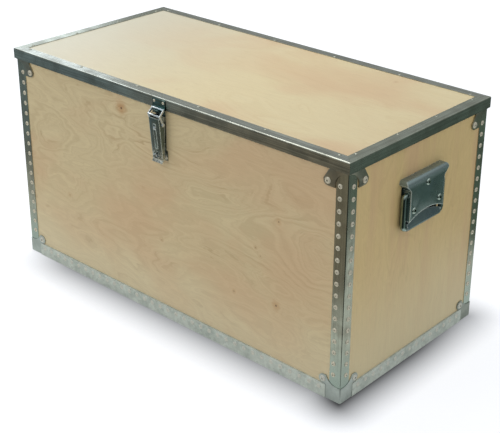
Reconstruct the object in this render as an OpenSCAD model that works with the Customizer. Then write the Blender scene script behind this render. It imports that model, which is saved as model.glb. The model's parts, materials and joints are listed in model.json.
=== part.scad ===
// Chuck box: a plywood travelling kitchen chest with steel angle on every edge,
// a flat lid in mitred edging, a toggle latch at the front and a drop handle on each end.
// Millimetres. +X is to the right seen from the front, -Y is the front, +Z is up.
// The origin is on the floor, at the middle of the whole chest with its hardware.

/* [Box] */
// Width of the plywood body
ply_w = 894; // [760:2:1100]
// Depth of the plywood body, front to back
ply_d = 428; // [360:2:520]
// Height from the floor to the top of the lid edging
box_h = 483; // [460:1:600]
// Thickness of the plywood walls and bottom
ply_t = 9; // [8:0.5:12]
// Thickness of the plywood of the lid
lid_t = 9; // [8:0.5:12]
// Gap between the body's rim and the closed lid
rim_gap = 0.3; // [0.2:0.1:1]

/* [Corner angles] */
// Sheet thickness of the four upright corner angles
angle_t = 1.2; // [0.8:0.1:1.6]
// Width of the flange on the front or back
angle_front = 25; // [22:1:30]
// Width of the flange on the end walls
angle_end = 23; // [20:1:28]
// Outside radius of the bend
angle_r = 2; // [1.8:0.1:3]

/* [Corner angle rivets] */
// Distance from one rivet to the next
rivet_pitch = 23.5; // [20:0.5:40]
// Height of the lowest rivet
rivet_low = 57; // [54:1:70]
// Clear height left above the highest rivet for the corner brace
rivet_top_gap = 32; // [30:1:60]
// Distance of the rivet row from the corner, on the front and back
rivet_in_front = 16.5; // [15:0.5:18]
// Distance of the rivet row from the corner, on the ends
rivet_in_end = 13.5; // [13:0.5:15]
// Diameter of a rivet head
head_d = 9.6; // [8:0.2:11]
// Height of a rivet head
head_h = 1.8; // [1.2:0.1:2.4]
// Diameter of a rivet shank
shank_d = 4.8; // [4:0.1:5]

/* [Bottom angles] */
// Thickness of the bottom angles
foot_t = 3; // [2.6:0.1:4]
// Height of the upright flange
foot_h = 30; // [27:1:31]
// Width of the flange under the box
foot_w = 25; // [20:1:34]
// Outside radius of the bend
foot_r = 2.5; // [1:0.1:2.6]
// Height of the rivet row
foot_rivet_z = 20; // [18:0.5:22]
// Distance of the first rivet from the end of the angle
foot_rivet_in = 12; // [10:1:30]

/* [Bottom corner caps] */
// Sheet thickness of the caps
cap_t = 1.2; // [0.8:0.1:1.5]
// Distance that a cap reaches from the corner
cap_w = 33; // [31:1:40]
// Height of a cap at the corner itself
cap_h = 33; // [31:1:38]
// Distance of the ear's rivet from the corner
cap_ear_in = 39; // [38:0.5:46]
// Height of the ear's rivet
cap_ear_z = 40; // [40:0.5:44]
// Radius of the ear
ear_r = 9.5; // [8.5:0.1:9.8]
// Radius of the hollow upper edge
cap_arc_r = 26; // [24:1:32]
// Distance from the corner at which the hollow edge starts
cap_arc_in = 8; // [5:1:12]

/* [Top corner braces] */
// Sheet thickness of the braces
brace_t = 1.5; // [1:0.1:2]
// Distance of the ear's rivet from the corner
brace_ear_in = 42.5; // [40:0.5:48]
// Depth of the ear's rivet below the lid top
brace_ear_drop = 46; // [44:0.5:50]
// Radius of the hollow lower edge
brace_arc_r = 26.5; // [24:0.5:32]
// Diameter of the large rivet heads in the ears
ear_head_d = 13; // [11:0.5:14]

/* [Lid edging] */
// Sheet thickness of the lid edging
edge_t = 1.2; // [0.8:0.1:1.5]
// Height of the hanging flange
edge_h = 22; // [20:1:24]
// Width of the flange on top of the lid
edge_w = 22; // [21:1:30]
// Outside radius of the bend
edge_r = 2.2; // [1.8:0.1:3]
// Free room between the braces and the hanging flange
lid_clear = 1; // [0.6:0.1:1.5]
// Gap at each mitre
mitre_gap = 0.3; // [0.1:0.1:0.6]
// Distance of the lid rivets from the outer face of the edging
lid_rivet_in = 17; // [16:0.5:18]
// Spacing of the six rivets along the front and back
lid_pitch_long = 166.8; // [130:0.2:180]
// Spacing of the four rivets along the ends
lid_pitch_end = 120; // [90:1:130]
// Diameter of a lid rivet head
lid_head_d = 6.4; // [5:0.2:8]

/* [Hinges] */
// Distance of each hinge from the middle of the box
hinge_x = 270; // [150:5:330]
// Width of a hinge
hinge_w = 75; // [60:1:110]
// Thickness of the hinge leaves
leaf_t = 1.6; // [1.2:0.1:1.8]
// Diameter of the hinge pin
hinge_pin_d = 4; // [3.4:0.1:4.2]
// Height of the body leaf
leaf_h = 29; // [26:1:40]
// Angle at which the hinges stop the open lid
lid_open = 100; // [95:1:105]
// Slope of the stop heel below level when the lid is shut
stop_slope = 30; // [26:1:35]

/* [Latch] */
// Distance of the latch from the middle of the front, to the right
latch_x = -5; // [-60:1:60]
// Width of the latch lever
lever_w = 28; // [26:1:32]
// Length of the lever below its pivot
lever_len = 88; // [80:1:100]
// Sheet thickness of the lever
lever_t = 1.5; // [1.2:0.1:1.6]
// Diameter of the pivot pin and of the bail pin
latch_pin_d = 4; // [3.4:0.1:4.2]
// Width of the wide foot of the base plate
latch_base_w = 32; // [31:1:44]
// Thickness of the base plate and its ears
latch_base_t = 1.6; // [1.2:0.1:1.8]
// Thickness of the bail's side arms
bail_arm_t = 2; // [1.6:0.1:2.4]
// Half the thickness of the bail's bar that hooks on the keeper
bail_bar_r = 1.9; // [1.5:0.1:1.9]
// Width of the keeper plate
keeper_w = 34; // [32:1:44]
// Width of the keeper's hook
hook_w = 20; // [12:1:24]
// Distance between the keeper's two rivets
keeper_pitch = 24; // [20:0.5:25]
// How far the padlock staple stands out from the plywood
staple_reach = 22.5; // [22:0.5:26]
// Radius of the padlock eye
eye_r = 3.4; // [3:0.1:3.5]
// Width of the staple
staple_t = 3; // [2:0.5:3]

/* [Handles] */
// Height of the handle's pivot
handle_z = 369.5; // [340:0.5:372]
// Diameter of the handle rod
rod_d = 10; // [8:0.5:10]
// Sheet thickness of the handle housing
handle_t = 2; // [1.5:0.1:2.4]
// How far the housing stands out from the plywood
handle_out = 19; // [18:0.5:24]
// Gap between each arm and the housing's side
arm_gap = 2.8; // [2:0.1:6]
// Length of the arms, pivot to grip
arm_len = 67; // [66:0.5:80]
// Width of the housing between the arms
pan_w = 106; // [90:1:106]
// How far the hood reaches past the housing's side, over the arm
hood_over = 12; // [8:0.5:13]
// Height of the hood above the pivot
hood_rise = 30; // [29:0.5:32]
// Radius of the hood's upper edge
hood_r = 8; // [4:0.5:10]
// Depth of the housing's arched lower edge below the pivot, at its middle
pan_drop = 40; // [39:0.5:42]
// Depth of the housing's lower edge below the pivot, at its sides
pan_end_drop = 52.3; // [46:0.1:52.5]
// Height of the grip at its middle
grip_h = 26.5; // [20:0.5:27]
// Height of the grip at its ends
grip_end_h = 14.5; // [13:0.5:15]
// Thickness of the grip around the rod
grip_d = 13; // [12.5:0.1:14]
// Height of the upper fixing above the pivot
handle_fix_up = 12; // [11:0.5:15]
// Depth of the two lower fixings below the pivot
handle_fix_low = 32; // [14:0.5:33]
// Distance between the two lower fixings
handle_fix_pitch = 81; // [50:1:82]

/* [Hidden] */

// Smoothness of round surfaces
$fn = 48;
// Sides, counted anticlockwise seen from above
FRONT = 0;
RIGHT = 1;
BACK = 2;
LEFT = 3;
// Radial clearances: a rivet in its hole, a pin that turns in its hole
hole_clear = 0.1;
run_clear = 0.06;
// Overrun of a cut past the face that it opens
cut = 1;

// Distances of the angles and of the braces below the rim
angle_below_rim = 0.5;
brace_below_rim = 1.5;
// Height of brace left in sight under the lid's flange, at the corner
brace_sight = 2;
// Heights from the floor up
lid_under = box_h - edge_t - lid_t;
rim_z = lid_under - rim_gap;
angle_top = rim_z - angle_below_rim;
edge_low = box_h - edge_h;
brace_ear_z = box_h - brace_ear_drop;
brace_arc_top = edge_low - brace_sight;
brace_top = rim_z - brace_below_rim;

// Rivets: diameter and height of the tails inside, and heights of the other heads
tail_d = 7;
big_tail_d = 8;
tail_h = 1.2;
foot_head_h = 1.2;
ear_head_h = 2.2;
lid_head_h = 1;
base_head_d = 8;
base_head_h = 1.4;
fix_head_d = 13;
fix_head_h = 2.4;
// The small rivets of the keeper and of the lid leaves, which end in the lid's edge
small_shank = 3.2;
small_head_d = 6;
small_head_h = 1.2;
small_depth = 11;
// Least distance of a lid rivet from the corner of the plywood
lid_run_in = 29;

// Standoffs from the plywood's outer face
cap_out = angle_t + cap_t;
brace_out = angle_t + brace_t;
edge_in = brace_out + lid_clear;
edge_out = edge_in + edge_t;

// Hinge knuckle: its axis stands off by its own radius from the back flange
knuckle_ri = hinge_pin_d / 2 + run_clear;
knuckle_r = knuckle_ri + leaf_t;
hinge_off = edge_out + knuckle_r;
hinge_drop = 0.8;
// Heel that stops the lid: long enough to meet the body leaf when the lid is open
stop_gap = 0.03;
stop_turn = stop_slope + lid_open - 90;
stop_len = (hinge_off - leaf_t - stop_gap - leaf_t / 2 * cos(stop_turn)) / sin(stop_turn);
hinge_up = edge_low - knuckle_r - hinge_drop;
hinge_axis = [hinge_off, hinge_up];
knuckles = 5;
knuckle_w = hinge_w / knuckles;
knuckle_gap = 0.3;
leaf_gap = 0.4;
peen_w = 1;
peen_r = knuckle_r - 0.8;
body_leaf_top = hinge_up - knuckle_r;
leaf_rivet_drop = 16.5;
leaf_rivet_pitch = hinge_w / 3;
edge_rivet_z = lid_under + lid_t / 2;

// Latch: the pivot, the bail pin, the bail's knee and its hooked bar, as [standoff, height]
latch_rise = 1;
latch_top = edge_low + latch_rise;
pivot = [13.5, latch_top - 16];
bail_pin = [11.5, latch_top - 29];
bail_bar = [edge_out + 3.9, latch_top];
knee = [19, latch_top - 10.5];
knee_r = 1.8;
bail_elbow_r = 2.2;
bail_pin_r = 3.8;
bail_head_r = 3;
bail_head_w = 1.2;
lever_out = 20.5;
lever_tail_out = 12.5;
lever_low = pivot[1] - lever_len;
flank_in = 6;
head_r = 5.4;
ear_pin_r = 4.5;
lever_gap = 0.2;
bail_gap = 0.3;
ear_x = lever_w / 2 - lever_t - lever_gap - latch_base_t / 2;
arm_x = lever_w / 2 + bail_gap + bail_arm_t / 2;
bail_half = arm_x + bail_arm_t / 2;
keeper_t = 1.6;
keeper_edge = 0.6;
keeper_low = latch_top + 5;
keeper_rivet_z = lid_under + small_shank / 2 + keeper_edge;
keeper_high = keeper_rivet_z + 5;
hook_c = [bail_bar[0] + 1.7, latch_top + 5.3];
hook_start = 0.6;
hook_ri = 8;
hook_t = 1.8;
hook_lip = latch_top + 0.8;
rib_from = 12;
rib_to = 64;
flank_from = 18;
rib_w = 7;
rib_out = 0.8;
tail_run = [3.25, -5];
staple_z = lever_low + 10.5;
staple_h = 10;
staple_lip = 1.8;
slot_h = 14;
slot_w = staple_t + 2;
latch_foot_low = lever_low - 2;
latch_foot_h = 20;
latch_base_high = pivot[1] + 4;
foot_rivet_pitch = 22;
foot_rivet_up = 6;
base_rivet_up = [-46, -24];

// Handle: the rod's ends turn in the side walls of the housing
rod_off = handle_out / 2;
bend_r = 7.5;
rod_end_in = 5;
arm_span = pan_w + rod_d + 2 * arm_gap;
stub = arm_span / 2 - bend_r - pan_w / 2 + handle_t + rod_end_in;
hood_gap = 4;
hood_w = pan_w + 2 * hood_over;
hood_low = handle_z + rod_d / 2 + hood_gap;
shoulder_z = hood_low + hood_over;
hood_top = handle_z + hood_rise;
hood_end_r = 5;
boss_r = 5.5;
pan_half = pan_w / 2;
pan_foot = handle_z - pan_end_drop - 2 * cut;
pan_rise = pan_end_drop - pan_drop;
pan_arch_r = (pan_half * pan_half + pan_rise * pan_rise) / (2 * pan_rise);
grip_end_gap = 1;
grip_w = arm_span - 2 * (bend_r + grip_end_gap);
grip_top_r = 2;
grip_gap = 0.02;
grip_inset = 0.6;

// Middle of the plywood in Y: it puts the origin at the middle of the whole chest
front_reach = staple_reach;
back_reach = hinge_off + stop_len * cos(stop_slope) + leaf_t / 2 * sin(stop_slope);
mid_y = (front_reach - back_reach) / 2;

// Half the length of a side, and the distance of its face from the middle
function half_len(side) = side % 2 == 0 ? ply_w / 2 : ply_d / 2;
function face_dist(side) = side % 2 == 0 ? ply_d / 2 : ply_w / 2;
// Distance of a side's rivet rows from the corner
function row_in(side) = side % 2 == 0 ? rivet_in_front : rivet_in_end;
// Heights of the rivets in an upright angle
rivet_count = floor((edge_low + 5 - rivet_top_gap - rivet_low) / rivet_pitch) + 1;
rivet_z = [for (i = [0:rivet_count - 1]) rivet_low + i * rivet_pitch];
// Places of n things at a pitch, centred on zero
function spread(n, pitch) = [for (i = [0:n - 1]) (i - (n - 1) / 2) * pitch];
// Places of the rivets along a bottom angle
function foot_run(side) = half_len(side) - cap_w - foot_rivet_in;
function foot_places(side) = spread(floor(2 * foot_run(side) / rivet_pitch) + 1, rivet_pitch);
// Places of the rivets along a length of lid edging
function lid_pitch(side) = side % 2 == 0 ? lid_pitch_long : lid_pitch_end;
function lid_run(side) = 2 * (half_len(side) - lid_run_in);
function lid_places(side) = spread(floor(lid_run(side) / lid_pitch(side)) + 1, lid_pitch(side));

// Frame on a side's outer face: x runs right seen from outside, y runs up, z stands out
module on_face(side, u = 0, up = 0, off = 0) {
    translate([0, mid_y, 0]) rotate([0, 0, 90 * side])
        translate([u, -(face_dist(side) + off), up]) rotate([90, 0, 0]) children();
}

// Frame at an upright edge of the plywood, drawn for the front right one and mirrored to the rest
module at_corner(sx, sy) {
    translate([sx * ply_w / 2, mid_y + sy * ply_d / 2, 0])
        mirror([sx < 0 ? 1 : 0, 0, 0]) mirror([0, sy > 0 ? 1 : 0, 0]) children();
}

// Slab in a face frame: a profile in [standoff, height], w thick and centred at x
module slab(x, w) {
    translate([x, 0, 0]) rotate([0, -90, 0]) linear_extrude(w, center = true) children();
}

// Round bar along x in a face frame, at a place in [standoff, height]
module bar(x, w, at, r) {
    translate([x, at[1], at[0]]) rotate([0, 90, 0]) cylinder(h = w, r = r, center = true);
}

// Straight strip of width w from p to q, in two dimensions
module strip(p, q, w) {
    translate(p) rotate(atan2(q[1] - p[1], q[0] - p[0]))
        translate([0, -w / 2]) square([norm(q - p), w]);
}

// Blind rivet along z: the head stands on z = 0 and the shank goes down by grip
module rivet(d, grip, tail = 0, h = head_h, shank = shank_d) {
    low = tail > 0 ? grip + tail_h : grip;
    tail_r = max(tail, shank) / 2;
    dome = [[d * 0.44, h * 0.5], [d * 0.3, h]];
    dimple = [[d * 0.14, h], [d * 0.14, h * 0.4], [0, h * 0.4]];
    foot = [[0, -low], [tail_r, -low], [tail_r, -grip], [shank / 2, -grip]];
    rotate_extrude($fn = 32) polygon(concat(foot, [[shank / 2, 0], [d / 2, 0]], dome, dimple));
}

// Hole for a rivet, through whatever lies from depth below z = 0 to rise above it
module rivet_hole(depth, rise = 10, shank = shank_d) {
    translate([0, 0, -depth]) cylinder(h = depth + rise, r = shank / 2 + hole_clear, $fn = 32);
}

// Every hole that the rivets need in one wall and in the metal on it
module wall_holes(side) {
    depth = ply_t + cut;
    for (s = [-1, 1]) {
        for (z = rivet_z)
            on_face(side, s * (half_len(side) - row_in(side)), z) rivet_hole(depth);
        on_face(side, s * (half_len(side) - cap_ear_in), cap_ear_z) rivet_hole(depth);
        on_face(side, s * (half_len(side) - brace_ear_in), brace_ear_z) rivet_hole(depth);
    }
    for (u = foot_places(side)) on_face(side, u, foot_rivet_z) rivet_hole(depth);
    if (side == FRONT) on_face(side, latch_x) latch_base_fixings() rivet_hole(depth);
    if (side == BACK)
        for (x = [-hinge_x, hinge_x]) on_face(side, x) body_leaf_fixings() rivet_hole(depth);
    if (side == LEFT || side == RIGHT) on_face(side) handle_fixings() rivet_hole(depth);
}

// One wall, of a given length along its side
module wall(side, length) {
    color([0.74, 0.64, 0.46]) difference() {
        on_face(side) translate([-length / 2, foot_t, -ply_t]) cube([length, rim_z - foot_t, ply_t]);
        wall_holes(side);
    }
}

module front_panel() { wall(FRONT, ply_w); }
module back_panel() { wall(BACK, ply_w); }
module left_end_panel() { wall(LEFT, ply_d - 2 * ply_t); }
module right_end_panel() { wall(RIGHT, ply_d - 2 * ply_t); }

// The bottom lies between the walls, on the inner flanges of the bottom angles
module bottom_panel() {
    color([0.72, 0.62, 0.44])
        translate([-ply_w / 2 + ply_t, mid_y - ply_d / 2 + ply_t, foot_t])
            cube([ply_w - 2 * ply_t, ply_d - 2 * ply_t, ply_t]);
}

// The lid's plywood fills its edging, and takes the shanks of the rivets from above and behind
module lid_panel() {
    color([0.86, 0.79, 0.64]) difference() {
        translate([-ply_w / 2 - edge_in, mid_y - ply_d / 2 - edge_in, lid_under])
            cube([ply_w + 2 * edge_in, ply_d + 2 * edge_in, lid_t]);
        for (side = [FRONT:LEFT]) lid_holes(side);
    }
}

// Holes for the rivets in one length of lid edging and in the plywood under it
module lid_holes(side) {
    on_face(side) lid_fixings(side) rivet_hole(lid_t + edge_t + cut);
    if (side == FRONT) on_face(side, latch_x) keeper_fixings()
        rivet_hole(small_depth + cut, shank = small_shank);
    if (side == BACK)
        for (x = [-hinge_x, hinge_x])
            on_face(side, x) lid_leaf_fixings() rivet_hole(small_depth + cut, shank = small_shank);
}

// Places of the rivets on top of the lid, with z pointing up
module lid_fixings(side) {
    for (u = lid_places(side))
        translate([u, box_h, edge_out - lid_rivet_in]) rotate([-90, 0, 0]) children();
}

// Filled corner in plan: flanges a and b long, t proud of the plywood, bend radius r
module corner_block(a, b, t, r) {
    translate([-a, -t]) square([a + t - r, b + t]);
    translate([-a, r - t]) square([a + t, b + t - r]);
    translate([t - r, r - t]) circle(r);
}

// Upright corner angle, drilled for its two rows of rivets
module corner_angle(sx, sy) {
    color([0.52, 0.53, 0.5]) difference() {
        at_corner(sx, sy) translate([0, 0, foot_t]) linear_extrude(angle_top - foot_t) difference() {
            corner_block(angle_front, angle_end, angle_t, angle_r);
            translate([-angle_front - cut, 0]) square([angle_front + cut, angle_end + cut]);
        }
        wall_holes(sy < 0 ? FRONT : BACK);
        wall_holes(sx < 0 ? LEFT : RIGHT);
    }
}

module corner_angle_front_left() { corner_angle(-1, -1); }
module corner_angle_front_right() { corner_angle(1, -1); }
module corner_angle_back_left() { corner_angle(-1, 1); }
module corner_angle_back_right() { corner_angle(1, 1); }

// Bottom angle along one side, from cap to cap; the chest stands on its lower flange
module bottom_angle(side) {
    length = 2 * (half_len(side) - cap_w);
    color([0.68, 0.72, 0.69]) difference() {
        on_face(side) slab(0, length) difference() {
            union() {
                translate([-foot_w, 0]) square([foot_w + foot_t - foot_r, foot_h]);
                translate([-foot_w, foot_r]) square([foot_w + foot_t, foot_h - foot_r]);
                translate([foot_t - foot_r, foot_r]) circle(foot_r);
            }
            translate([-foot_w - cut, foot_t]) square([foot_w + cut, foot_h]);
        }
        wall_holes(side);
    }
}

module bottom_angle_front() { bottom_angle(FRONT); }
module bottom_angle_back() { bottom_angle(BACK); }
module bottom_angle_left() { bottom_angle(LEFT); }
module bottom_angle_right() { bottom_angle(RIGHT); }

// Face of a bottom cap: x runs away from the corner, y runs up
module cap_face() {
    ear_low = cap_ear_z - ear_r;
    difference() {
        union() {
            translate([0, foot_t - cap_t]) square([cap_w, cap_ear_z + ear_r - foot_t + cap_t]);
            translate([cap_w - cut, ear_low]) square([cap_ear_in - cap_w + cut, 2 * ear_r]);
            translate([cap_ear_in, cap_ear_z]) circle(ear_r);
        }
        translate([cap_arc_in, cap_h + cap_arc_r]) circle(cap_arc_r);
        translate([-cut, cap_h]) square([cap_arc_in + cut, cap_arc_r]);
    }
}

// Face of a top brace: its lower edge rises to the lid flange at the corner
module brace_face() {
    difference() {
        union() {
            translate([0, brace_ear_z - ear_r])
                square([brace_ear_in, brace_top - brace_ear_z + ear_r]);
            translate([0, brace_arc_top]) square([brace_ear_in + ear_r, brace_top - brace_arc_top]);
            translate([brace_ear_in, brace_ear_z]) circle(ear_r);
            translate([brace_ear_in, brace_ear_z]) square([ear_r, brace_top - brace_ear_z]);
        }
        translate([0, brace_arc_top - brace_arc_r]) circle(brace_arc_r);
    }
}

// Bent corner plate: a face outline on both walls, out by t, clear of the upright angle inside
module corner_plate(t) {
    difference() {
        intersection() {
            linear_extrude(box_h) corner_block(2 * cap_w + 2 * ear_r, 2 * cap_w + 2 * ear_r,
                                               t, angle_r + t - angle_t);
            union() {
                rotate([90, 0, 0]) mirror([1, 0, 0]) linear_extrude(t) children();
                rotate([90, 0, 90]) linear_extrude(t) children();
                intersection() {
                    translate([0, -t, 0]) linear_extrude(box_h) square(t);
                    rotate([90, 0, 0]) mirror([1, 0, 0]) linear_extrude(t)
                        translate([-t, 0]) children();
                }
            }
        }
        linear_extrude(box_h) corner_block(angle_front + hole_clear, angle_end + hole_clear,
                                           angle_t, angle_r - hole_clear);
    }
}

// Bottom corner cap, folded under the box
module corner_cap(sx, sy) {
    color([0.6, 0.64, 0.62]) difference() {
        at_corner(sx, sy) {
            corner_plate(cap_out) cap_face();
            translate([0, 0, foot_t - cap_t]) linear_extrude(cap_t)
                corner_block(cap_w, cap_w, cap_out, angle_r + cap_t);
        }
        wall_holes(sy < 0 ? FRONT : BACK);
        wall_holes(sx < 0 ? LEFT : RIGHT);
    }
}

module corner_cap_front_left() { corner_cap(-1, -1); }
module corner_cap_front_right() { corner_cap(1, -1); }
module corner_cap_back_left() { corner_cap(-1, 1); }
module corner_cap_back_right() { corner_cap(1, 1); }

// Top corner brace, half hidden by the lid's flange
module corner_brace(sx, sy) {
    color([0.4, 0.43, 0.4]) difference() {
        at_corner(sx, sy) corner_plate(brace_out) brace_face();
        wall_holes(sy < 0 ? FRONT : BACK);
        wall_holes(sx < 0 ? LEFT : RIGHT);
    }
}

module corner_brace_front_left() { corner_brace(-1, -1); }
module corner_brace_front_right() { corner_brace(1, -1); }
module corner_brace_back_left() { corner_brace(-1, 1); }
module corner_brace_back_right() { corner_brace(1, 1); }

// One mitred length of lid edging
module lid_edging(side) {
    half = half_len(side) + edge_out;
    reach = half - mitre_gap / 2;
    color([0.45, 0.47, 0.44]) difference() {
        on_face(side) intersection() {
            slab(0, 2 * half) difference() {
                union() {
                    translate([edge_out - edge_w, edge_low]) square([edge_w, edge_h - edge_r]);
                    translate([edge_out - edge_w, edge_low]) square([edge_w - edge_r, edge_h]);
                    translate([edge_out - edge_r, box_h - edge_r]) circle(edge_r);
                }
                translate([edge_out - edge_w - cut, edge_low - cut])
                    square([edge_w - edge_t + cut, edge_h - edge_t + cut]);
            }
            translate([0, box_h + cut, 0]) rotate([90, 0, 0]) linear_extrude(edge_h + 2 * cut)
                polygon([[-reach - cut, edge_out + cut], [reach + cut, edge_out + cut],
                         [reach - edge_w - cut, edge_out - edge_w - cut],
                         [-reach + edge_w + cut, edge_out - edge_w - cut]]);
        }
        lid_holes(side);
    }
}

module lid_edging_front() { lid_edging(FRONT); }
module lid_edging_back() { lid_edging(BACK); }
module lid_edging_left() { lid_edging(LEFT); }
module lid_edging_right() { lid_edging(RIGHT); }

// Two rows of rivets in the upright angles of one side
module corner_rivets(side) {
    color([0.75, 0.74, 0.7]) for (s = [-1, 1]) for (z = rivet_z)
        on_face(side, s * (half_len(side) - row_in(side)), z, angle_t)
            rivet(head_d, angle_t + ply_t, tail_d);
}

module corner_rivets_front() { corner_rivets(FRONT); }
module corner_rivets_back() { corner_rivets(BACK); }
module corner_rivets_left() { corner_rivets(LEFT); }
module corner_rivets_right() { corner_rivets(RIGHT); }

module bottom_angle_rivets() {
    color([0.72, 0.75, 0.72]) for (side = [FRONT:LEFT]) for (u = foot_places(side))
        on_face(side, u, foot_rivet_z, foot_t) rivet(head_d, foot_t + ply_t, tail_d, foot_head_h);
}

module corner_cap_rivets() {
    color([0.72, 0.74, 0.7]) for (side = [FRONT:LEFT]) for (s = [-1, 1])
        on_face(side, s * (half_len(side) - cap_ear_in), cap_ear_z, cap_out)
            rivet(ear_head_d, cap_out + ply_t, big_tail_d, ear_head_h);
}

module corner_brace_rivets() {
    color([0.72, 0.74, 0.7]) for (side = [FRONT:LEFT]) for (s = [-1, 1])
        on_face(side, s * (half_len(side) - brace_ear_in), brace_ear_z, brace_out)
            rivet(ear_head_d, brace_out + ply_t, big_tail_d, ear_head_h);
}

// The lid rivets end flush with the underside, clear of the rim when the lid swings
module lid_rivets() {
    color([0.6, 0.6, 0.56]) for (side = [FRONT:LEFT]) on_face(side) lid_fixings(side)
        rivet(lid_head_d, lid_t + edge_t, 0, lid_head_h);
}

// Places of the fixings of a hinge's two leaves, in a face frame
module body_leaf_fixings() {
    for (x = [-leaf_rivet_pitch, 0, leaf_rivet_pitch])
        translate([x, body_leaf_top - leaf_rivet_drop, 0]) children();
}
module lid_leaf_fixings() {
    for (x = [-leaf_rivet_pitch, 0, leaf_rivet_pitch])
        translate([x, edge_rivet_z, edge_out]) children();
}

// Middle of knuckle i, counted from the left
function knuckle_x(i) = (i - (knuckles - 1) / 2) * knuckle_w;

// One knuckle's barrel
module knuckle(i) {
    slab(knuckle_x(i), knuckle_w - knuckle_gap) translate(hinge_axis) circle(knuckle_r);
}

// Leaf on the back wall, stepped out under its three knuckles
module hinge_body_leaf(x) {
    color([0.6, 0.62, 0.6]) on_face(BACK, x) difference() {
        union() {
            slab(0, hinge_w) translate([0, body_leaf_top - leaf_h]) square([leaf_t, leaf_h]);
            for (i = [0:2:knuckles - 1]) {
                slab(knuckle_x(i), knuckle_w - knuckle_gap)
                    translate([0, body_leaf_top]) square([hinge_off, leaf_t]);
                slab(knuckle_x(i), knuckle_w - knuckle_gap)
                    translate([0, body_leaf_top - leaf_t]) square([leaf_t, 2 * leaf_t]);
                knuckle(i);
            }
        }
        bar(0, hinge_w + 2 * cut, hinge_axis, knuckle_ri);
        body_leaf_fixings() rivet_hole(cut);
    }
}

// Leaf on the lid's back flange, with two knuckles and the heels that stop the lid
module hinge_lid_leaf(x) {
    leaf_high = box_h - edge_r;
    stop_end = hinge_axis + stop_len * [cos(stop_slope), -sin(stop_slope)];
    leaf_low = hinge_up + knuckle_r + leaf_gap;
    color([0.6, 0.62, 0.6]) on_face(BACK, x) difference() {
        union() {
            slab(0, hinge_w) translate([edge_out, leaf_low]) square([leaf_t, leaf_high - leaf_low]);
            for (i = [1:2:knuckles - 1]) {
                slab(knuckle_x(i), knuckle_w - knuckle_gap)
                    translate([edge_out, hinge_up]) square([leaf_t, leaf_low - hinge_up + cut]);
                slab(knuckle_x(i), knuckle_w - knuckle_gap)
                    strip(hinge_axis, stop_end, leaf_t);
                knuckle(i);
            }
        }
        bar(0, hinge_w + 2 * cut, hinge_axis, knuckle_ri);
        lid_leaf_fixings() rivet_hole(cut, shank = small_shank);
    }
}

// Hinge pin with its two peened ends
module hinge_pin(x) {
    color([0.55, 0.56, 0.54]) on_face(BACK, x) {
        bar(0, hinge_w + 2 * peen_w, hinge_axis, hinge_pin_d / 2);
        for (s = [-1, 1])
            bar(s * (hinge_w + knuckle_gap + peen_w) / 2, peen_w, hinge_axis, peen_r);
    }
}

module hinge_body_leaf_left() { hinge_body_leaf(hinge_x); }
module hinge_body_leaf_right() { hinge_body_leaf(-hinge_x); }
module hinge_lid_leaf_left() { hinge_lid_leaf(hinge_x); }
module hinge_lid_leaf_right() { hinge_lid_leaf(-hinge_x); }
module hinge_pin_left() { hinge_pin(hinge_x); }
module hinge_pin_right() { hinge_pin(-hinge_x); }

module hinge_body_rivets() {
    color([0.72, 0.74, 0.7]) for (x = [-hinge_x, hinge_x]) on_face(BACK, x) body_leaf_fixings()
        translate([0, 0, leaf_t]) rivet(head_d, leaf_t + ply_t, tail_d);
}

module hinge_lid_rivets() {
    color([0.72, 0.74, 0.7]) for (x = [-hinge_x, hinge_x]) on_face(BACK, x) lid_leaf_fixings()
        translate([0, 0, leaf_t])
            rivet(small_head_d, leaf_t + small_depth, 0, small_head_h, small_shank);
}

// Places of the keeper's rivets on the lid's front flange
module keeper_fixings() {
    for (x = [-1, 1]) translate([x * keeper_pitch / 2, keeper_rivet_z, edge_out]) children();
}

// Keeper plate, with a broad hook that curls out and up under the bail's bar
module latch_keeper() {
    neck_low = hook_c[1] - hook_ri + hook_start;
    color([0.5, 0.54, 0.54]) on_face(FRONT, latch_x) difference() {
        union() {
            slab(0, keeper_w) translate([edge_out, keeper_low])
                square([keeper_t, keeper_high - keeper_low]);
            slab(0, hook_w) {
                translate([edge_out, neck_low]) square([keeper_t, keeper_high - neck_low]);
                intersection() {
                    translate(hook_c) difference() {
                        circle(hook_ri + hook_t);
                        circle(hook_ri);
                    }
                    translate([edge_out, hook_c[1] - hook_ri - hook_t])
                        square([2 * hook_ri + hook_t, hook_lip - hook_c[1] + hook_ri + hook_t]);
                }
            }
        }
        keeper_fixings() rivet_hole(cut, shank = small_shank);
    }
}

module latch_keeper_rivets() {
    color([0.8, 0.82, 0.82]) on_face(FRONT, latch_x) keeper_fixings()
        translate([0, 0, keeper_t])
            rivet(small_head_d, keeper_t + small_depth, 0, small_head_h, small_shank);
}

// Bail: a frame that leans out from the hook to its knee, then two arms down to the bail pin
module latch_bail() {
    color([0.84, 0.87, 0.88]) on_face(FRONT, latch_x) difference() {
        union() {
            bar(0, 2 * bail_half, bail_bar, bail_bar_r);
            bar(0, 2 * bail_half, knee, knee_r);
            for (x = [-arm_x, arm_x]) slab(x, bail_arm_t) {
                strip(bail_bar, knee, 2 * knee_r);
                strip(knee, bail_pin, 2 * bail_elbow_r);
                translate(bail_bar) circle(bail_elbow_r);
                translate(knee) circle(bail_elbow_r);
                translate(bail_pin) circle(bail_pin_r);
            }
        }
        bar(0, 2 * bail_half + 2 * cut, bail_pin, latch_pin_d / 2 + run_clear);
    }
}

// The pin that carries the bail in the lever's flanks, with a head at each end
module latch_bail_pin() {
    color([0.75, 0.78, 0.78]) on_face(FRONT, latch_x) {
        bar(0, 2 * (bail_half + bail_head_w), bail_pin, latch_pin_d / 2);
        for (s = [-1, 1])
            bar(s * (bail_half + bail_gap + bail_head_w / 2), bail_head_w, bail_pin, bail_head_r);
    }
}

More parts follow.
